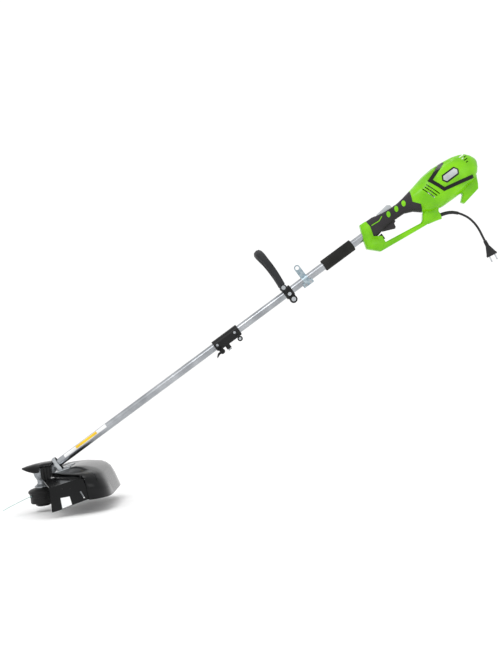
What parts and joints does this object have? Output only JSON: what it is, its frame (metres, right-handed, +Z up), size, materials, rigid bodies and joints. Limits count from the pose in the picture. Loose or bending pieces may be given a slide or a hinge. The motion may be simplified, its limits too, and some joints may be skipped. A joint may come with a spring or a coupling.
{
  "type": "string trimmer",
  "caption": "Corded string trimmer: motor housing at the rear, split aluminium shaft, loop handle, bump-feed line head and black debris guard.",
  "frame": {"origin": "centre of the harness eye's hole, where the trimmer hangs from its harness", "axes": "+Z up along the line head's spin axis, +X rearwards to the motor, Y across; the shaft rises 30 degrees towards +X"},
  "size_m": [1.6931, 0.4125, 0.9915],
  "materials": {
    "housing_green": "satin moulded plastic, lime green",
    "grip_rubber": "soft moulded rubber, charcoal",
    "black_trim": "black moulded trim",
    "black_plastic": "black moulded plastic",
    "guard_gloss": "glossy black plastic",
    "handle_rubber": "dark grey rubber",
    "foam": "black foam sleeve",
    "cord_rubber": "black rubber",
    "tube_aluminium": "drawn tube, satin",
    "cast_aluminium": "die-cast, dull",
    "steel": "machined steel",
    "zinc_plate": "zinc-plated pressed steel",
    "rotor_copper": "wound copper",
    "lever_grey": "light grey moulded plastic",
    "nylon_line": "pale green nylon line"
  },
  "bodies": {
    "upper_unit": {"upper_tube": "tube_aluminium", "upper_shaft_bushing": "black_plastic", "coupler_body": "black_plastic", "coupler_bolt": "steel", "handle_clamp_near": "black_plastic", "handle_clamp_far": "black_plastic", "clamp_bolt": "steel", "pivot_bolt": "steel", "harness_eye_bracket": "zinc_plate", "foam_sleeve": "foam", "housing_near": "housing_green", "housing_far": "housing_green", "grip_near": "grip_rubber", "grip_far": "grip_rubber", "trim_near": "black_trim", "trim_far": "black_trim", "power_switch": "black_plastic", "motor_stator": "steel", "front_motor_bearing": "steel", "rear_motor_bearing": "steel", "brush_carrier": "black_plastic", "strain_relief": "cord_rubber", "power_cord": "cord_rubber", "plug_body": "cord_rubber", "plug_pin_1": "steel", "plug_pin_2": "steel"},
    "lower_unit": {"lower_tube": "tube_aluminium", "lower_shaft_bushing": "black_plastic", "gearbox_housing": "cast_aluminium", "gearbox_cap": "cast_aluminium", "pinion_bearing": "steel", "spindle_bearing": "steel", "debris_guard": "guard_gloss", "guard_extension": "guard_gloss", "line_cutter_blade": "steel", "guard_visor": "guard_gloss", "guard_block_near": "black_plastic", "guard_block_far": "black_plastic", "guard_strap": "steel"},
    "coupler_lever": {"coupler_lever": "black_plastic"},
    "release_pin": {"release_pin": "steel"},
    "loop_handle": {"loop_handle": "handle_rubber"},
    "trigger": {"trigger": "grip_rubber"},
    "lock_off_lever": {"lock_off_lever": "lever_grey"},
    "rotor": {"motor_rotor": "rotor_copper", "cooling_fan": "black_plastic", "upper_drive_shaft": "steel"},
    "lower_drive": {"lower_drive_shaft": "steel", "bevel_pinion": "steel"},
    "line_head": {"output_bevel_gear": "steel", "output_spindle": "steel", "line_head_housing": "black_plastic", "line_head_cap": "black_plastic", "line_eyelet_1": "steel", "line_eyelet_2": "steel", "cutting_line_1": "nylon_line", "cutting_line_2": "nylon_line"},
    "spool": {"line_spool": "black_plastic", "bump_spring": "steel"},
    "bump_knob": {"bump_knob": "black_plastic"}
  },
  "joints": [
    {"name": "motor_spin", "type": "hinge", "parent": "upper_unit", "child": "rotor", "pos_m": [0.48836, 0, 0.22814], "axis": [0.866, 0, 0.5], "continuous": true},
    {"name": "lower_shaft_spin", "type": "hinge", "parent": "lower_unit", "child": "lower_drive", "pos_m": [-0.57253, 0, -0.38436], "axis": [0.866, 0, 0.5], "continuous": true},
    {"name": "head_spin", "type": "hinge", "parent": "lower_unit", "child": "line_head", "pos_m": [-0.91894, 0, -0.58436], "axis": [0, 0, 1], "continuous": true},
    {"name": "shaft_split", "type": "slide", "parent": "upper_unit", "child": "lower_unit", "axis": [-0.866, 0, -0.5], "range_m": [0, 0.045]},
    {"name": "spool_feed", "type": "hinge", "parent": "line_head", "child": "spool", "pos_m": [-0.91894, 0, -0.58436], "axis": [0, 0, 1], "continuous": true},
    {"name": "bump_press", "type": "slide", "parent": "spool", "child": "bump_knob", "axis": [0, 0, 1], "range_m": [0, 0.008], "stiffness_N_per_m": 900, "deforming": ["bump_spring"]},
    {"name": "trigger_pull", "type": "hinge", "parent": "upper_unit", "child": "trigger", "pos_m": [0.29247, 0, 0.09542], "axis": [0, -1, 0], "range_deg": [0, 9], "stiffness_Nm_per_rad": 2, "springref_deg": -5.73},
    {"name": "lock_off_press", "type": "hinge", "parent": "upper_unit", "child": "lock_off_lever", "pos_m": [0.28646, 0, 0.13583], "axis": [0, 1, 0], "range_deg": [0, 9], "stiffness_Nm_per_rad": 1.5, "springref_deg": -5.73},
    {"name": "handle_tilt", "type": "hinge", "parent": "upper_unit", "child": "loop_handle", "pos_m": [-0.05302, 0, -0.06017], "axis": [0, 1, 0], "range_deg": [-30, 40]},
    {"name": "coupler_lever_turn", "type": "hinge", "parent": "upper_unit", "child": "coupler_lever", "pos_m": [-0.27584, 0, -0.24424], "axis": [0, -1, 0], "range_deg": [0, 90]},
    {"name": "release_pin_pull", "type": "slide", "parent": "upper_unit", "child": "release_pin", "axis": [0.5, 0, -0.866], "range_m": [0, 0.005], "stiffness_N_per_m": 600, "springref_m": -0.003}
  ],
  "couplings": [
    {"joint": "lower_shaft_spin", "follows": "motor_spin", "ratio": 1},
    {"joint": "head_spin", "follows": "motor_spin", "ratio": -0.73684}
  ]
}
